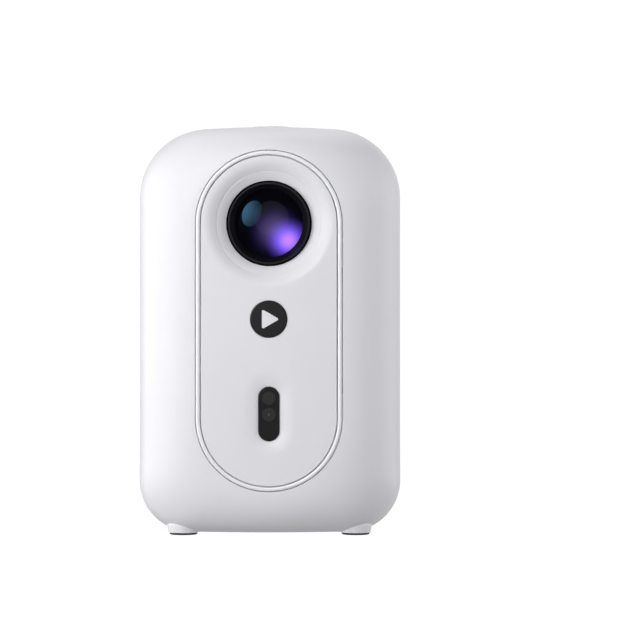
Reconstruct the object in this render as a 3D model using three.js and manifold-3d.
// Home projector: an upright white tower with its projection lens near the top of a stadium-shaped
// front panel. Millimetres, +Z up, front towards -Y, origin on the floor below the body's centre.

import * as THREE from 'three';
import { mergeVertices } from 'three/addons/utils/BufferGeometryUtils.js';
import Module from 'manifold-3d';

const wasm = await Module();
wasm.setup();

// ---------------------------------------------------------------- driving dimensions

const GAP = 0.3; // clearance between neighbouring pieces
const WALL = 2.4; // moulded wall of the shells and panels
const THROUGH = 400; // longer than the object, for cutting tools

const BODY = {
  halfWidth: 66,
  front: -65.6,
  rear: 66,
  bottom: 1.1,
  top: 205.6,
  topCorner: 35,
  bottomCorner: 26,
  crown: 490,
  split: 31,
};
// The front and rear faces are flat inside a stadium, and blend from its edge to the silhouette.
const FACE = { radius: 38, low: 58.9, high: 155.3 };
const BLEND = { side: 42, top: 50, bottom: 23, power: 2.3, steps: 4 };

const RING = { outer: 36.15, inner: 34.15, crest: -66, edge: -65.6, back: -62.5 };
const PANEL = { radius: 33.9, front: -65.6 };
const DISH = { rim: 32.6, floor: 25.9, floorY: -61.3, hole: 21.3, cup: 32.2 };
const LENS_Z = 155.5;
const BADGE = { z: 108, radius: 9.2, pocket: 1.3, thickness: 0.95 };
const WINDOW = { z: 61.1, width: 10.6, height: 27.1, front: -65.1 };

const ENGINE = { front: -17, rear: 39, bottom: 60, top: 182, half: 34, wall: 2, axisY: 11 };
const FOCUS = { module: 1, ringTeeth: 52, pinionTeeth: 10, backlash: 0.25, turn: 45, travel: 2.5 };
const PINS = { count: 3, radius: 1.2, y: -43, inner: 15.4, outer: 23, play: 0.4 };
const FAN = { size: 50, z: 39, front: 42, depth: 15, bladeTip: 22.3, bladeCount: 7 };
const FEET = { x: 43.2, y: 42, pad: 7.1, collar: 8.3, collarBottom: 1 };
const COVER = { halfX: 30, halfY: 27, corner: 5, screwX: 25.5, screwY: 22.5 };
const BUTTON = { radius: 9.85, top: 207, flange: 11.5 };
const PORTS = { z: 82, halfWidth: 31, halfHeight: 7.5, boardY: 49 };
const SPEAKER = { x: 22, z: 160, y: 44.5 };

// ---------------------------------------------------------------- materials

function paint(color, roughness, metalness = 0) {
  return new THREE.MeshStandardMaterial({ color, roughness, metalness });
}

const look = {
  shell: paint(0xe9eaef, 0.42),
  panel: paint(0xe6e7ec, 0.35),
  trim: paint(0xf4f5f8, 0.12, 0.3),
  black: paint(0x17181c, 0.35),
  darkGloss: paint(0x24252a, 0.15),
  glass: paint(0x6c7fb0, 0.05),
  coatedGlass: paint(0x2a2350, 0.04),
  rubber: paint(0x3a3a3c, 0.8),
  board: paint(0x1f5a3c, 0.5),
  aluminium: paint(0xb8bbc0, 0.4, 0.9),
  steel: paint(0xc8c9cc, 0.3, 1),
  brass: paint(0xc9a24c, 0.3, 1),
  copper: paint(0xb87344, 0.35, 0.9),
  mirror: paint(0xe6ebf2, 0.02, 1),
  darkPlastic: paint(0x2b2c30, 0.6),
  paper: paint(0x3d3a38, 0.9),
};

// ---------------------------------------------------------------- geometry helpers

// Share the vertices of a mesh, drop empty triangles and turn the faces outwards.
function weld(geometry) {
  geometry.deleteAttribute('normal');
  geometry.deleteAttribute('uv');
  const merged = mergeVertices(geometry, 1e-4);
  const source = merged.index.array;
  const kept = [];
  for (let i = 0; i < source.length; i += 3) {
    const [a, b, c] = [source[i], source[i + 1], source[i + 2]];
    if (a !== b && b !== c && c !== a) kept.push(a, b, c);
  }
  merged.setIndex(kept);
  if (signedVolume(merged) < 0) merged.setIndex(kept.reverse());
  return merged;
}

function signedVolume(geometry) {
  const position = geometry.getAttribute('position');
  const corners = [0, 1, 2].map(() => new THREE.Vector3());
  let volume = 0;
  for (let i = 0; i < geometry.index.count; i += 3) {
    corners.forEach((corner, k) => corner.fromBufferAttribute(position, geometry.index.getX(i + k)));
    volume += corners[0].dot(corners[1].cross(corners[2])) / 6;
  }
  return volume;
}

function toSolid(geometry) {
  const welded = weld(geometry.clone());
  const vertProperties = new Float32Array(welded.getAttribute('position').array);
  const triVerts = new Uint32Array(welded.index.array);
  return new wasm.Manifold(new wasm.Mesh({ numProp: 3, vertProperties, triVerts }));
}

function fromSolid(solid) {
  const mesh = solid.getMesh();
  const geometry = new THREE.BufferGeometry();
  geometry.setAttribute('position', new THREE.BufferAttribute(new Float32Array(mesh.vertProperties), 3));
  geometry.setIndex(Array.from(mesh.triVerts));
  geometry.computeVertexNormals();
  return geometry;
}

function join(...geometries) {
  return fromSolid(geometries.map(toSolid).reduce((sum, next) => sum.add(next)));
}

function cut(base, ...tools) {
  return fromSolid(tools.map(toSolid).reduce((rest, tool) => rest.subtract(tool), toSolid(base)));
}

function common(first, second) {
  return fromSolid(toSolid(first).intersect(toSolid(second)));
}

// Skin through rings of equal length, in order, and cap both ends.
function loft(rings) {
  const size = rings[0].length;
  const points = rings.flat();
  const index = [];
  for (let r = 0; r + 1 < rings.length; r++) {
    for (let i = 0; i < size; i++) {
      const a = r * size + i;
      const b = r * size + ((i + 1) % size);
      index.push(a, b, a + size, b, b + size, a + size);
    }
  }
  for (const [ring, turn] of [[0, 1], [rings.length - 1, -1]]) {
    const middle = points.length;
    const centre = new THREE.Vector3();
    rings[ring].forEach((point) => centre.addScaledVector(point, 1 / size));
    points.push(centre);
    for (let i = 0; i < size; i++) {
      const a = ring * size + i;
      const b = ring * size + ((i + 1) % size);
      index.push(...(turn > 0 ? [middle, b, a] : [middle, a, b]));
    }
  }
  return meshOf(points, index);
}

// Skin round a closed loop of sections, with no ends.
function loop(sections) {
  const size = sections[0].length;
  const index = [];
  sections.forEach((section, s) => {
    const next = (s + 1) % sections.length;
    for (let i = 0; i < size; i++) {
      const j = (i + 1) % size;
      const [a, b, c, d] = [s * size + i, s * size + j, next * size + i, next * size + j];
      index.push(a, b, c, b, d, c);
    }
  });
  return meshOf(sections.flat(), index);
}

function meshOf(points, index) {
  const geometry = new THREE.BufferGeometry().setFromPoints(points);
  geometry.setIndex(index);
  const welded = weld(geometry);
  welded.computeVertexNormals();
  return welded;
}

function arc(x, y, radius, from, to, steps) {
  return Array.from({ length: steps + 1 }, (_, i) => {
    const angle = THREE.MathUtils.degToRad(from + ((to - from) * i) / steps);
    return [x + radius * Math.cos(angle), y + radius * Math.sin(angle)];
  });
}

function circle(x, y, radius, steps = 24) {
  return arc(x, y, radius, 0, 360, steps).slice(0, -1);
}

function roundedRect(x, y, halfWidth, halfHeight, radius, steps = 3) {
  const [dx, dy] = [halfWidth - radius, halfHeight - radius];
  return [
    ...arc(x + dx, y + dy, radius, 0, 90, steps),
    ...arc(x - dx, y + dy, radius, 90, 180, steps),
    ...arc(x - dx, y - dy, radius, 180, 270, steps),
    ...arc(x + dx, y - dy, radius, 270, 360, steps),
  ];
}

function pill(x, y, halfWidth, halfHeight, steps = 8) {
  const radius = Math.min(halfWidth, halfHeight);
  return roundedRect(x, y, halfWidth, halfHeight, radius, steps / 2);
}

// The stadium that the front and rear faces share, at any radius.
function stadium(radius, steps = 12) {
  return [
    ...arc(0, FACE.high, radius, 0, 180, steps),
    ...arc(0, FACE.low, radius, 180, 360, steps),
  ];
}

// An outline's points without the repeats where two arcs meet.
function distinct(outline) {
  const points = outline.map(([a, b]) => new THREE.Vector2(a, b));
  return points.filter((point, i) => point.distanceTo(points[(i + 1) % points.length]) > 1e-4);
}

function extruded(outline, depth, holes = []) {
  const shape = new THREE.Shape(distinct(outline));
  shape.holes = holes.map((hole) => new THREE.Path(distinct(hole)));
  return new THREE.ExtrudeGeometry(shape, { depth, bevelEnabled: false });
}

// Plates whose outline is drawn across X, Y or Z, and which run between two places on that axis.
function slabX(outline, from, to, holes) {
  const axes = new THREE.Matrix4().set(0, 0, 1, from, 1, 0, 0, 0, 0, 1, 0, 0, 0, 0, 0, 1);
  return weld(extruded(outline, to - from, holes).applyMatrix4(axes));
}

function slabY(outline, from, to, holes) {
  return weld(extruded(outline, to - from, holes).rotateX(Math.PI / 2).translate(0, to, 0));
}

function slabZ(outline, from, to, holes) {
  return weld(extruded(outline, to - from, holes).translate(0, 0, from));
}

function block(x0, x1, y0, y1, z0, z1) {
  const geometry = new THREE.BoxGeometry(x1 - x0, y1 - y0, z1 - z0);
  return geometry.translate((x0 + x1) / 2, (y0 + y1) / 2, (z0 + z1) / 2);
}

// A turned piece about Y. The profile is [radius, y] and closes on itself if it leaves the axis.
function turnedY(profile, segments = 24) {
  const points = profile.map(([radius, y]) => new THREE.Vector2(radius, y));
  if (profile[0][0] > 0) points.push(points[0].clone());
  return weld(new THREE.LatheGeometry(points, segments));
}

function turnedZ(profile, segments = 24) {
  return turnedY(profile, segments).rotateX(Math.PI / 2);
}

// A short spherical cap's profile, from the axis to a radius, bulging by sag.
function capProfile(radius, y, sag, steps = 3) {
  return Array.from({ length: steps + 1 }, (_, i) => {
    const r = (radius * i) / steps;
    return [r, y + sag * (1 - (r / radius) ** 2)];
  });
}

const model = new THREE.Group();

function piece(parent, name, geometry, material) {
  const mesh = new THREE.Mesh(geometry, material);
  mesh.name = name;
  parent.add(mesh);
  return mesh;
}

function groupAt(parent, x, y, z) {
  const group = new THREE.Group();
  group.position.set(x, y, z);
  parent.add(group);
  return group;
}

// ---------------------------------------------------------------- body surface

// The silhouette as [x, z]: a crowned top, round corners and a flat bottom, inset by any amount.
function silhouette(inset) {
  const half = BODY.halfWidth - inset;
  const topRadius = BODY.topCorner - inset;
  const lowRadius = BODY.bottomCorner - inset;
  const crown = BODY.crown - inset;
  const top = BODY.top - inset;
  const bottom = BODY.bottom + inset;
  const cornerX = half - topRadius;
  const lean = Math.asin(cornerX / (crown - topRadius));
  const cornerZ = top - crown + (crown - topRadius) * Math.cos(lean);
  const leanDegrees = THREE.MathUtils.radToDeg(lean);
  const right = [
    [0, bottom],
    ...arc(half - lowRadius, bottom + lowRadius, lowRadius, -90, 0, 5),
    ...[FACE.low, (FACE.low + FACE.high) / 2, FACE.high].map((z) => [half, z]),
    ...arc(cornerX, cornerZ, topRadius, 0, 90 - leanDegrees, 6),
    ...arc(0, top - crown, crown, 90 - leanDegrees, 90, 2).slice(1),
  ];
  const left = right.slice(1, -1).reverse().map(([x, z]) => [-x, z]);
  return [...right, ...left];
}

// How deep the blend runs from the face to the silhouette, by the direction it faces.
function blendDepth(directionZ) {
  const upper = Math.max(directionZ, 0) ** 2;
  const lower = Math.max(-directionZ, 0) ** 2;
  return BLEND.side + (BLEND.top - BLEND.side) * upper + (BLEND.bottom - BLEND.side) * lower;
}

// The ring of the body surface at one step of the blend: step 0 is the edge of the flat face.
function blendRing(inset, share, faceY, sign) {
  const angle = (share * Math.PI) / 2;
  const exponent = 2 / BLEND.power;
  const across = Math.sin(angle) ** exponent;
  const along = 1 - Math.max(Math.cos(angle), 0) ** exponent;
  return silhouette(inset).map(([x, z]) => {
    const middleZ = Math.min(Math.max(z, FACE.low), FACE.high);
    const reach = Math.hypot(x, z - middleZ);
    const [dirX, dirZ] = [x / reach, (z - middleZ) / reach];
    const edge = FACE.radius - inset / 2;
    const distance = edge + (reach - edge) * across;
    const depth = (blendDepth(dirZ) - inset) * along;
    return new THREE.Vector3(dirX * distance, faceY + sign * depth, middleZ + dirZ * distance);
  });
}

function bodySolid(inset) {
  const shares = Array.from({ length: BLEND.steps + 1 }, (_, i) => i / BLEND.steps);
  const front = shares.map((share) => blendRing(inset, share, BODY.front + inset, 1));
  const rear = shares.map((share) => blendRing(inset, share, BODY.rear - inset, -1)).reverse();
  return loft([...front, ...rear]);
}

// ---------------------------------------------------------------- shells and covers

const hollowBody = cut(bodySolid(0), bodySolid(WALL));

// A foot's collar: it reaches up into the curved corner, which it never leaves.
function withCollars(shell, y) {
  const collars = [-FEET.x, FEET.x].map((x) => slabZ(circle(x, y, FEET.collar, 20), FEET.collarBottom, 10));
  const recesses = [-FEET.x, FEET.x].map((x) => slabZ(circle(x, y, FEET.pad + GAP, 20), 0, 2.6));
  return cut(join(shell, ...collars), ...recesses);
}

function coverLedge() {
  const outline = roundedRect(0, 0, COVER.halfX + 2.5, COVER.halfY + 2.5, COVER.corner);
  const opening = roundedRect(0, 0, COVER.halfX - 6, COVER.halfY - 6, COVER.corner);
  return slabZ(outline, BODY.bottom + WALL - 0.4, 6.4, [opening]);
}

function screwPlaces() {
  return [-1, 1].flatMap((sx) => [-1, 1].map((sy) => [sx * COVER.screwX, sy * COVER.screwY]));
}

function frontShell() {
  const half = common(hollowBody, block(-THROUGH, THROUGH, -THROUGH, BODY.split - 0.1, -THROUGH, THROUGH));
  const coverOutline = roundedRect(0, 0, COVER.halfX + GAP, COVER.halfY + GAP, COVER.corner);
  const openings = [
    slabY(stadium(RING.outer + GAP), -70, -55),
    slabZ(circle(0, 0, BUTTON.radius + GAP), 195, 215),
    slabZ(coverOutline, -1, BODY.bottom + WALL + GAP),
  ];
  const screwHoles = screwPlaces().map(([x, y]) => slabZ(circle(x, y, 1.8, 8), 0, 9));
  return withCollars(cut(join(half, coverLedge()), ...openings, ...screwHoles), -FEET.y);
}

// Upright slots that together fill a pill-shaped field on the rear face.
function rearSlots(centreZ, fieldHalf, radius) {
  const pitch = 4.4;
  const count = Math.floor((fieldHalf - 2) / pitch);
  return Array.from({ length: 2 * count + 1 }, (_, i) => {
    const x = (i - count) * pitch;
    const past = Math.max(Math.abs(x) - (fieldHalf - radius), 0);
    const height = Math.sqrt(radius ** 2 - past ** 2) - 0.8;
    return block(x - 1.1, x + 1.1, 60, 70, centreZ - height, centreZ + height);
  });
}

const REAR_FIELDS = [
  { z: SPEAKER.z, half: 34, radius: 14 },
  { z: FAN.z, half: 24, radius: 14 },
];

function rearShell() {
  const half = common(hollowBody, block(-THROUGH, THROUGH, BODY.split + 0.1, THROUGH, -THROUGH, THROUGH));
  const portOpening = slabY(pill(0, PORTS.z, PORTS.halfWidth + GAP, PORTS.halfHeight + GAP), 60, 70);
  const slots = REAR_FIELDS.flatMap((field) => rearSlots(field.z, field.half, field.radius));
  return withCollars(cut(half, portOpening, ...slots), FEET.y);
}

function bottomCover() {
  const plate = slabZ(
    roundedRect(0, 0, COVER.halfX, COVER.halfY, COVER.corner),
    BODY.bottom,
    BODY.bottom + WALL,
    [circle(0, 0, 7.3, 24)],
  );
  const counterbores = screwPlaces().map(([x, y]) => slabZ(circle(x, y, 2.9, 12), 0, 2.8));
  const holes = screwPlaces().map(([x, y]) => slabZ(circle(x, y, 1.7, 8), 0, 5));
  const slots = [-19.2, -15.6, -12, 12, 15.6, 19.2].map((x) => block(x - 1, x + 1, -15, 15, 0, 5));
  return cut(plate, ...counterbores, ...holes, ...slots);
}

function tripodInsert() {
  return turnedZ([[3.2, 1.4], [7, 1.4], [7, 3.8], [9, 3.8], [9, 5.4], [7, 5.4], [7, 9.4], [3.2, 9.4]], 24);
}

function addFastenersAndFeet() {
  screwPlaces().forEach(([x, y], i) => {
    const screw = turnedZ([[0, 1.3], [2.6, 1.3], [2.6, 2.5], [1.3, 2.5], [1.3, 7.5], [0, 7.5]], 12);
    piece(groupAt(model, x, y, 0), `bottom_screw_${i + 1}`, screw, look.steel);
  });
  const corners = { front_left: [-1, -1], front_right: [1, -1], rear_left: [-1, 1], rear_right: [1, 1] };
  for (const [corner, [sx, sy]] of Object.entries(corners)) {
    const r = FEET.pad;
    const pad = turnedZ([[0, 0], [r - 0.9, 0], [r - 0.25, 0.3], [r, 0.9], [r, 2.3], [0, 2.3]], 20);
    piece(groupAt(model, sx * FEET.x, sy * FEET.y, 0), `foot_pad_${corner}`, pad, look.rubber);
  }
}

// ---------------------------------------------------------------- front panel and what it carries

// The bright ring: a T section swept round the stadium. Its rear flange holds shell and panel.
function trimRing() {
  const middle = (RING.outer + RING.inner) / 2;
  const section = [
    [RING.inner, RING.edge],
    [middle - 0.5, RING.crest],
    [middle + 0.5, RING.crest],
    [RING.outer, RING.edge],
    [RING.outer, RING.back],
    [RING.outer + 1.2, RING.back],
    [RING.outer + 1.2, RING.back + 1.5],
    [RING.inner - 1.6, RING.back + 1.5],
    [RING.inner - 1.6, RING.back],
    [RING.inner, RING.back],
  ];
  const unit = stadium(1);
  return loop(unit.map(([x, z]) => {
    const middleZ = z > (FACE.low + FACE.high) / 2 ? FACE.high : FACE.low;
    return section.map(([r, y]) => new THREE.Vector3(x * r, y, middleZ + (z - middleZ) * r));
  }));
}

function frontPanel() {
  const plate = slabY(stadium(PANEL.radius), PANEL.front, PANEL.front + WALL);
  const cup = turnedY([
    [DISH.hole, DISH.floorY - 1],
    [DISH.cup, PANEL.front + 1],
    [DISH.cup, PANEL.front + WALL + 0.4],
    [DISH.floor + 1.4, DISH.floorY + 2],
    [DISH.hole, DISH.floorY + 2],
  ], 32).translate(0, 0, LENS_Z);
  // The dish falls in an S-curve from its soft rim to the flat floor round the lens.
  const depth = DISH.floorY - PANEL.front;
  const slope = [0, 0.25, 0.5, 0.75, 1].map((share) => [
    DISH.rim + (DISH.floor - DISH.rim) * share,
    PANEL.front + depth * (3 * share ** 2 - 2 * share ** 3),
  ]);
  const dish = turnedY([[0, -70], [DISH.rim, -70], ...slope, [0, DISH.floorY]], 32).translate(0, 0, LENS_Z);
  const tools = [
    dish,
    slabY(circle(0, LENS_Z, DISH.hole, 32), -70, -50),
    slabY(circle(0, BADGE.z, BADGE.radius + 0.2), -70, PANEL.front + BADGE.pocket),
    slabY(pill(0, WINDOW.z, WINDOW.width / 2 + 0.2, WINDOW.height / 2 + 0.2), -70, -60),
  ];
  return cut(join(plate, cup), ...tools);
}

function sensorWindow() {
  const { z, width, height, front } = WINDOW;
  const face = slabY(pill(0, z, width / 2, height / 2), front, -61.4);
  const flange = slabY(pill(0, z, width / 2 + 1.6, height / 2 + 1.6), -62.9, -61.4);
  return join(face, flange);
}

function addFront() {
  piece(model, 'front_shell', frontShell(), look.shell);
  piece(model, 'rear_shell', rearShell(), look.shell);
  piece(model, 'bottom_cover', bottomCover(), look.shell);
  piece(model, 'tripod_insert', tripodInsert(), look.brass);
  piece(model, 'trim_ring', trimRing(), look.trim);
  piece(model, 'front_panel', frontPanel(), look.panel);
  const badge = slabY(circle(0, BADGE.z, BADGE.radius), PANEL.front - 0.2, PANEL.front + BADGE.thickness);
  piece(model, 'badge', badge, look.darkGloss);
  piece(model, 'sensor_window', sensorWindow(), look.darkGloss);
}

// The small sensors behind the dark window, on their own board.
function addSensors() {
  const front = -56;
  const board = slabY(roundedRect(0, WINDOW.z, 10, 19, 1.5), front, front + 1.6);
  piece(model, 'sensor_board', board, look.board);
  const camera = groupAt(model, 0, front - GAP, 61.4);
  const body = block(-4.2, 4.2, -3, 0, -3.9, 3.9);
  piece(camera, 'focus_camera', join(body, slabY(circle(0, 0, 2.8, 16), -4.8, -1)), look.black);
  const ranger = groupAt(model, 0, front - GAP, 70.3);
  piece(ranger, 'distance_sensor', block(-3, 3, -2.2, 0, -2.2, 2.2), look.black);
  const receiver = groupAt(model, 0, front - GAP, 51);
  const dome = turnedY(capProfile(2.2, -2.4, -1.6).concat([[2.2, -1], [0, -1]]), 16);
  piece(receiver, 'ir_receiver', join(block(-3, 3, -2.4, 0, -3.2, 3.2), dome), look.black);
}

// ---------------------------------------------------------------- projection lens

// Angles in the lens group run about +Y from +X, as its joints do: a turn takes +Z towards +X.
function polar(radius, degrees, y) {
  const angle = THREE.MathUtils.degToRad(degrees);
  return new THREE.Vector3(radius * Math.cos(angle), y, -radius * Math.sin(angle));
}

const pinAngles = Array.from({ length: PINS.count }, (_, i) => 90 + (i * 360) / PINS.count);

function lensBezel() {
  return turnedY([
    [16.9, -56.5],
    [16.9, -62],
    [18.9, -64],
    [20, -64.2],
    [20.9, -63.4],
    [20.9, -58.9],
    [22.8, -58.9],
    [22.8, -56.5],
  ], 32);
}

function lensSleeve() {
  const tube = turnedY([
    [16.85, -55],
    [19.5, -55],
    [19.5, -37.6],
    [20.6, -37.6],
    [20.6, -36.6],
    [19.5, -36.6],
    [19.5, -19.6],
    [24, -19.6],
    [24, -17.4],
    [16.85, -17.4],
  ], 32);
  const halfSlot = PINS.radius + PINS.play;
  const slots = pinAngles.map((degrees) => {
    const slot = slabX(pill(PINS.y, 0, FOCUS.travel + halfSlot, halfSlot, 8), 14, 22);
    return slot.rotateY(THREE.MathUtils.degToRad(degrees));
  });
  return cut(tube, ...slots);
}

// Half the angle of an involute tooth at one radius.
function toothHalfAngle(radius, pitchRadius, teeth) {
  const pressure = THREE.MathUtils.degToRad(20);
  const base = pitchRadius * Math.cos(pressure);
  const involute = (angle) => Math.tan(angle) - angle;
  const atPitch = Math.PI / (2 * teeth) - 0.06 / pitchRadius;
  return atPitch + involute(pressure) - involute(Math.acos(Math.min(base / radius, 1)));
}

// A run of teeth centred on some angles, as [x, z] points by rising angle.
function toothedArc(teeth, centres) {
  const pitchRadius = (FOCUS.module * teeth) / 2;
  const radii = [-1.1, -0.35, 0.2, 0.8].map((offset) => pitchRadius + offset * FOCUS.module);
  const flank = radii.map((radius) => [radius, toothHalfAngle(radius, pitchRadius, teeth)]);
  const flanks = [
    ...flank.map(([radius, half]) => [radius, -half]),
    ...[...flank].reverse(),
  ];
  return centres.flatMap((centre) => flanks.map(([radius, offset]) => {
    const angle = centre + offset;
    return [radius * Math.cos(angle), radius * Math.sin(angle)];
  }));
}

// Direction from the lens axis to the pinion, seen in the X-Z plane.
const pinionDirection = -Math.PI / 4;
const pinionDistance = (FOCUS.module * (FOCUS.ringTeeth + FOCUS.pinionTeeth)) / 2 + FOCUS.backlash;

// The focus ring carries a gear sector outside, and a cam slot for each pin inside.
function focusRing() {
  const pitch = (2 * Math.PI) / FOCUS.ringTeeth;
  const toothCount = 16;
  const first = pinionDirection - ((toothCount - 1) / 2) * pitch;
  const centres = Array.from({ length: toothCount }, (_, i) => first + i * pitch);
  const sector = toothedArc(FOCUS.ringTeeth, centres);
  const rimRadius = FOCUS.ringTeeth / 2 - 1.1;
  const rest = { from: (toothCount / 2) * pitch, to: 2 * Math.PI - (toothCount / 2) * pitch };
  const degrees = (angle) => THREE.MathUtils.radToDeg(pinionDirection + angle);
  const rim = arc(0, 0, rimRadius, degrees(rest.from), degrees(rest.to), 24);
  const ring = slabY([...sector, ...rim], -48, -38, [circle(0, 0, 19.95, 32)]);
  return cut(ring, ...pinAngles.map(camSlot));
}

// A helical slot: turning the ring by its full turn moves a pin by the full travel.
function camSlot(pinDegrees) {
  const half = PINS.radius + PINS.play;
  const end = FOCUS.turn + THREE.MathUtils.radToDeg(half / 21.5);
  const steps = 8;
  const rise = FOCUS.travel / FOCUS.turn;
  return loft(Array.from({ length: steps + 1 }, (_, i) => {
    const turn = -end + (2 * end * i) / steps;
    const y = PINS.y - rise * turn;
    const angle = pinDegrees + turn;
    return [
      polar(18, angle, y - half),
      polar(23.5, angle, y - half),
      polar(23.5, angle, y + half),
      polar(18, angle, y + half),
    ];
  }));
}

function focusPinion() {
  const teeth = FOCUS.pinionTeeth;
  const towardsRing = pinionDirection + Math.PI;
  const centres = Array.from({ length: teeth }, (_, i) => towardsRing + (i * 2 * Math.PI) / teeth);
  const wheel = slabY(toothedArc(teeth, centres), -46.5, -39.5);
  return join(wheel, slabY(circle(0, 0, 1, 12), -40, -36.5));
}

function lensBarrel() {
  const tube = turnedY([
    [16.3, -57.2],
    [16.3, -26],
    [13, -26],
    [13, -34],
    [14, -34],
    [14, -53],
    [15.8, -53],
    [15.8, -57.2],
  ], 32);
  const pins = pinAngles.map((degrees) => {
    const length = PINS.outer - PINS.inner;
    const pin = new THREE.CylinderGeometry(PINS.radius, PINS.radius, length, 12).rotateZ(Math.PI / 2);
    pin.translate(PINS.inner + length / 2, PINS.y, 0);
    return pin.rotateY(THREE.MathUtils.degToRad(degrees));
  });
  return join(tube, ...pins);
}

// A lens element between two caps.
function lensElement(radius, front, rear, frontSag, rearSag) {
  const rearCap = capProfile(radius, rear, rearSag).reverse();
  return turnedY([...capProfile(radius, front, -frontSag), ...rearCap], 24);
}

// The front element has a stepped edge: its wide front covers the barrel's end.
function frontElement() {
  const [wide, narrow] = [16.5, 15.5];
  const edge = [[wide, -57.5], [narrow, -57.5]];
  return turnedY([...capProfile(wide, -57.9, -3), ...edge, ...capProfile(narrow, -53.5, 0.2).reverse()], 32);
}

function addLens() {
  const lens = groupAt(model, 0, 0, LENS_Z);
  piece(lens, 'lens_bezel', lensBezel(), look.black);
  piece(lens, 'lens_sleeve', lensSleeve(), look.darkPlastic);
  piece(lens, 'focus_ring', focusRing(), look.darkPlastic);
  piece(lens, 'lens_barrel', lensBarrel(), look.black);
  piece(lens, 'front_element', frontElement(), look.coatedGlass);
  piece(lens, 'middle_element', lensElement(13.7, -47, -44.5, -1, -1), look.glass);
  piece(lens, 'rear_element', lensElement(12.7, -33, -29.5, 0.6, 2), look.glass);
  const axis = [pinionDistance * Math.cos(pinionDirection), pinionDistance * Math.sin(pinionDirection)];
  const drive = groupAt(lens, axis[0], 0, axis[1]);
  piece(drive, 'focus_pinion', focusPinion(), look.brass);
  const can = turnedY([[1.4, -35.6], [5, -35.6], [5, -20.6], [0, -20.6], [0, -33], [1.4, -33]], 20);
  piece(drive, 'focus_motor', can, look.steel);
  piece(lens, 'motor_bracket', motorBracket(axis), look.steel);
}

function motorBracket([x, z]) {
  const eye = circle(0, 0, 23, 24);
  const around = slabY(eye, -36, -34.8);
  const arm = slabY(roundedRect(0, 0, 20, 7, 6.9), -36, -34.8);
  arm.translate(14, 0, 0).rotateY(-pinionDirection);
  const shaftHole = slabY(circle(x, z, 5.4, 20), -38, -30);
  return cut(join(around, arm), slabY(circle(0, 0, 19.85, 32), -38, -30), shaftHole);
}

// ---------------------------------------------------------------- optical engine

// The fold mirror's plane, y + z = const, leans at 45 degrees through the crossing of both axes.
const foldSum = ENGINE.axisY + LENS_Z;

function engineProfile(inset) {
  const slope = foldSum + (3.5 + ENGINE.wall - inset) * Math.SQRT2;
  const [front, rear] = [ENGINE.front + inset, ENGINE.rear - inset];
  const [bottom, top] = [ENGINE.bottom + inset, ENGINE.top - inset];
  return [[front, bottom], [rear, bottom], [rear, slope - rear], [slope - top, top], [front, top]];
}

// Heights of the flat optical plates, each on two ledges.
const PLATES = [
  { name: 'field_lens', z: 117, thickness: 2.5, look: look.glass },
  { name: 'lcd_panel', z: 110, thickness: 3.2, look: look.darkGloss },
  { name: 'collimating_lens', z: 102, thickness: 2.5, look: look.glass },
  { name: 'heat_glass', z: 93, thickness: 1.6, look: look.glass },
];

function engineHousing() {
  const { wall, half, front, rear, axisY, bottom } = ENGINE;
  const inside = half - wall;
  const shell = cut(
    slabX(engineProfile(0), -half, half),
    slabX(engineProfile(wall), -inside, half + 1),
    slabY(circle(0, LENS_Z, 16.5, 32), front - 1, front + wall + 1),
    slabZ(circle(0, axisY, 13, 24), bottom - 1, bottom + wall + 1),
  );
  const shelf = slabZ(
    roundedRect(0, (front + rear) / 2, inside + 0.5, (rear - front) / 2 - 1, 0.5, 1),
    70, 71.7, [circle(0, axisY, 18)],
  );
  const ledges = PLATES.flatMap(({ z }) => [
    block(-inside - 0.5, inside, front + 1, front + wall + 3.5, z - GAP - 1.2, z - GAP),
    block(-inside - 0.5, inside, rear - wall - 3.5, rear - 1, z - GAP - 1.2, z - GAP),
  ]);
  return join(shell, shelf, ...ledges);
}

function addEngine() {
  const { axisY, half, front, rear, wall } = ENGINE;
  const middleY = (front + rear) / 2;
  const plateHalfY = (rear - front) / 2 - wall - 0.6;
  piece(model, 'engine_housing', engineHousing(), look.darkPlastic);
  piece(model, 'engine_cover', slabX(engineProfile(0), half + GAP, half + GAP + 1.8), look.darkPlastic);
  const mirror = groupAt(model, 0, axisY, LENS_Z);
  mirror.rotation.x = Math.PI / 4;
  piece(mirror, 'fold_mirror', block(-30, 30, 0.2, 2.2, -28.5, 28.5), look.mirror);
  PLATES.forEach((plate) => {
    const outline = roundedRect(0, middleY, 31, plateHalfY, 1.5, 2);
    piece(model, plate.name, slabZ(outline, plate.z, plate.z + plate.thickness), plate.look);
  });
  const condenser = turnedY([...capProfile(20, 78, 7, 4), [20, 72], [0, 72]]).rotateX(Math.PI / 2);
  piece(groupAt(model, 0, axisY, 0), 'condenser_lens', condenser, look.glass);
  const light = groupAt(model, 0, axisY, 0);
  const base = block(-13, 13, -13, 13, 57.9, 59.5);
  const dome = turnedY([...capProfile(6, 62, 3), [6, 58.5], [0, 58.5]], 24).rotateX(Math.PI / 2);
  piece(light, 'led_module', join(base, dome), look.copper);
  piece(model, 'led_heatsink', finned(32, -12, 38, 24, 57.6, 4, 15, 1.2), look.aluminium);
}

// A comb of upright fins hanging below a base plate, run along Y.
function finned(half, y0, y1, z0, z1, base, count, thickness) {
  const pitch = (2 * half - thickness) / (count - 1);
  const comb = [[half, z1], [-half, z1]];
  for (let i = 0; i < count; i++) {
    const x = -half + i * pitch;
    comb.push([x, z0], [x + thickness, z0]);
    if (i + 1 < count) comb.push([x + thickness, z1 - base], [x + pitch, z1 - base]);
  }
  return slabY(comb, y0, y1);
}

// ---------------------------------------------------------------- fan

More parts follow.
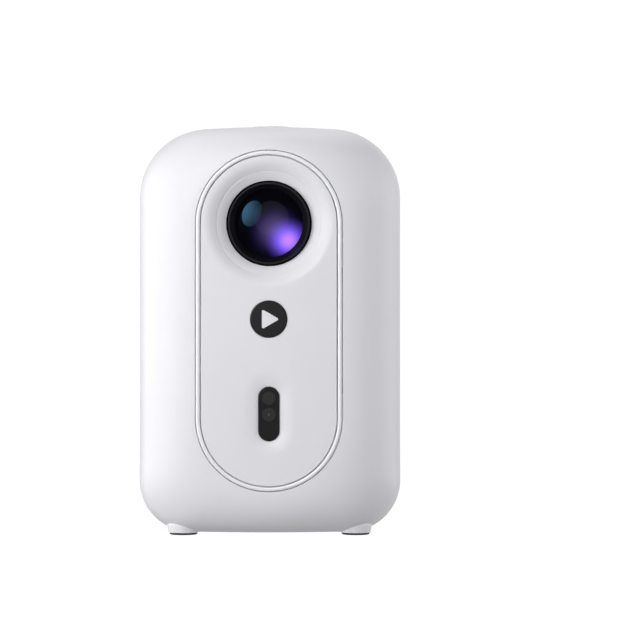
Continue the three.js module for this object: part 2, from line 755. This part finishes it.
function fanFrame() {
  const { size, depth } = FAN;
  const plate = slabY(roundedRect(0, 0, size / 2, size / 2, 4), 0, depth, [circle(0, 0, 23.4, 32)]);
  const hub = slabY(circle(0, 0, 9, 24), 0, 2);
  const struts = [45, 135, 225, 315].map((angle) => {
    const strut = block(8, 24, 0, 2, -1.2, 1.2);
    return strut.rotateY(THREE.MathUtils.degToRad(angle));
  });
  return join(plate, hub, ...struts);
}

// One blade, pitched less steeply towards its tip, as a loft from the hub outwards.
function fanBlade(angle) {
  const stations = [
    { radius: 8.4, pitch: 52, chord: 11 },
    { radius: 15, pitch: 42, chord: 12.5 },
    { radius: FAN.bladeTip, pitch: 34, chord: 13.5 },
  ];
  const blade = loft(stations.map(({ radius, pitch, chord }) => {
    const lean = THREE.MathUtils.degToRad(pitch);
    const along = [Math.cos(lean), Math.sin(lean)];
    const across = [-along[1] * 0.6, along[0] * 0.6];
    const corners = [[-1, -1], [1, -1], [1, 1], [-1, 1]];
    return corners.map(([a, b]) => {
      const z = (a * along[0] * chord) / 2 + b * across[0];
      const y = 8.2 + (a * along[1] * chord) / 2 + b * across[1];
      return new THREE.Vector3(Math.sqrt(radius ** 2 - z ** 2), y, z);
    });
  }));
  return blade.rotateY(angle);
}

function addFan() {
  const fan = groupAt(model, 0, FAN.front, FAN.z);
  piece(fan, 'fan_frame', fanFrame(), look.darkPlastic);
  const hub = turnedY([[0, 2.6], [9, 2.6], [9, 13], [8.2, 13.8], [0, 13.8]], 24);
  const pitch = (2 * Math.PI) / FAN.bladeCount;
  const blades = Array.from({ length: FAN.bladeCount }, (_, i) => fanBlade(i * pitch));
  piece(fan, 'fan_rotor', join(hub, ...blades), look.darkPlastic);
}

// ---------------------------------------------------------------- electronics and sockets

function addBoards() {
  const { boardY } = PORTS;
  piece(model, 'main_board', slabY(roundedRect(0, 102, 38, 34, 2), boardY, boardY + 1.6), look.board);
  const sink = groupAt(model, 0, boardY + 1.6 + GAP, 115);
  const comb = finned(13, 0, 26, -9, 0, 2, 8, 1).rotateX(Math.PI / 2).translate(0, 0, -13);
  piece(sink, 'chip_heatsink', comb, look.aluminium);
  const driver = slabY(roundedRect(0, 58, 27, 36, 2), -41, -39.4);
  piece(model, 'driver_board', driver, look.board);
  const coil = turnedY([[4, 0], [9, 0], [9, 8], [4, 8]], 24);
  piece(groupAt(model, -12, -39.1, 50), 'driver_coil', coil, look.copper);
}

// Each socket is a body with an open mouth facing the rear. Its outline can be grown for a clearance.
const SOCKETS = [
  { name: 'power_jack', x: -22, outline: (x, grow) => circle(x, PORTS.z, 4.4 + grow, 20) },
  { name: 'hdmi_port', x: -6, outline: (x, grow) => roundedRect(x, PORTS.z, 7.8 + grow, 3 + grow, 0.8, 2) },
  { name: 'usb_port', x: 11, outline: (x, grow) => roundedRect(x, PORTS.z, 7 + grow, 3.3 + grow, 0.4, 1) },
  { name: 'av_jack', x: 24.5, outline: (x, grow) => circle(x, PORTS.z, 3.6 + grow, 20) },
];
const SOCKET_Y = { front: PORTS.boardY + 1.6 + GAP, rear: 64.8, mouth: 9 };

function socketMouth(name, x) {
  const from = SOCKET_Y.rear - SOCKET_Y.mouth;
  const deep = SOCKET_Y.rear + 1;
  const z = PORTS.z;
  const tongueEnd = SOCKET_Y.rear - 0.8;
  if (name === 'power_jack') {
    const bore = slabY(circle(x, z, 2.8, 20), from, deep);
    return cut(bore, slabY(circle(x, z, 1, 12), from - 1, tongueEnd));
  }
  if (name === 'av_jack') return slabY(circle(x, z, 1.8, 16), from, deep);
  if (name === 'hdmi_port') {
    const bore = slabY(roundedRect(x, z, 7, 2.25, 0.6, 2), from, deep);
    return cut(bore, block(x - 5.8, x + 5.8, from - 1, tongueEnd, z - 0.6, z + 0.6));
  }
  const bore = slabY(roundedRect(x, z, 6.3, 2.6, 0.2, 1), from, deep);
  return cut(bore, block(x - 5.6, x + 5.6, from - 1, tongueEnd, z + 0.3, z + 2));
}

function addPorts() {
  SOCKETS.forEach(({ name, x, outline }) => {
    const socket = slabY(outline(x, 0), SOCKET_Y.front, SOCKET_Y.rear);
    const material = name.endsWith('jack') ? look.black : look.steel;
    piece(model, name, cut(socket, socketMouth(name, x)), material);
  });
  const holes = SOCKETS.map(({ x, outline }) => outline(x, GAP));
  const plate = slabY(pill(0, PORTS.z, PORTS.halfWidth, PORTS.halfHeight), 63.4, 65.2, holes);
  piece(model, 'port_plate', plate, look.black);
}

// ---------------------------------------------------------------- power button

function addButton() {
  const { radius, top, flange } = BUTTON;
  const button = turnedZ([
    [0, 197.6],
    [2, 197.6],
    [2, 201],
    [flange, 201],
    [flange, 202.5],
    [radius, 202.5],
    [radius, top - 0.6],
    [radius - 0.6, top - 0.1],
    [radius - 2.4, top],
    [0, top],
  ]);
  piece(model, 'power_button', button, look.shell);
  const body = block(-3, 3, -3, 3, 193, 195.6);
  const plunger = slabZ(circle(0, 0, 1.7, 12), 195, 196.7);
  piece(model, 'button_switch', join(body, plunger), look.black);
  piece(model, 'button_board', slabZ(roundedRect(0, 0, 16, 11, 1.5), 191.1, 192.7), look.board);
}

// ---------------------------------------------------------------- loudspeakers

function speakerBasket() {
  return turnedY([
    [6.2, 5.3],
    [10, 5.3],
    [16.2, 10.4],
    [16.2, 12.4],
    [17.8, 12.4],
    [17.8, 13.8],
    [15.4, 13.8],
    [15.4, 11],
    [9.2, 6.5],
    [6.2, 6.5],
  ], 16);
}

function speakerCone() {
  return turnedY([
    [0, 9.6],
    [4.5, 8.4],
    [4.5, 2.8],
    [4.9, 2.8],
    [4.9, 7.9],
    [14.5, 12.9],
    [14.5, 13.7],
    [5, 9],
    [0, 10.3],
  ], 16);
}

function addSpeakers() {
  for (const [side, sign] of [['left', -1], ['right', 1]]) {
    const speaker = groupAt(model, sign * SPEAKER.x, SPEAKER.y, SPEAKER.z);
    const magnet = turnedY([
      [0, 0],
      [9.5, 0],
      [9.5, 5],
      [5.3, 5],
      [5.3, 1.5],
      [4.1, 1.5],
      [4.1, 5],
      [0, 5],
    ], 16);
    piece(speaker, `${side}_speaker_magnet`, magnet, look.steel);
    piece(speaker, `${side}_speaker_basket`, speakerBasket(), look.darkPlastic);
    piece(speaker, `${side}_speaker_cone`, speakerCone(), look.paper);
  }
}

// ---------------------------------------------------------------- assembly

addFront();
addFastenersAndFeet();
addSensors();
addLens();
addEngine();
addFan();
addBoards();
addPorts();
addButton();
addSpeakers();

export default model;
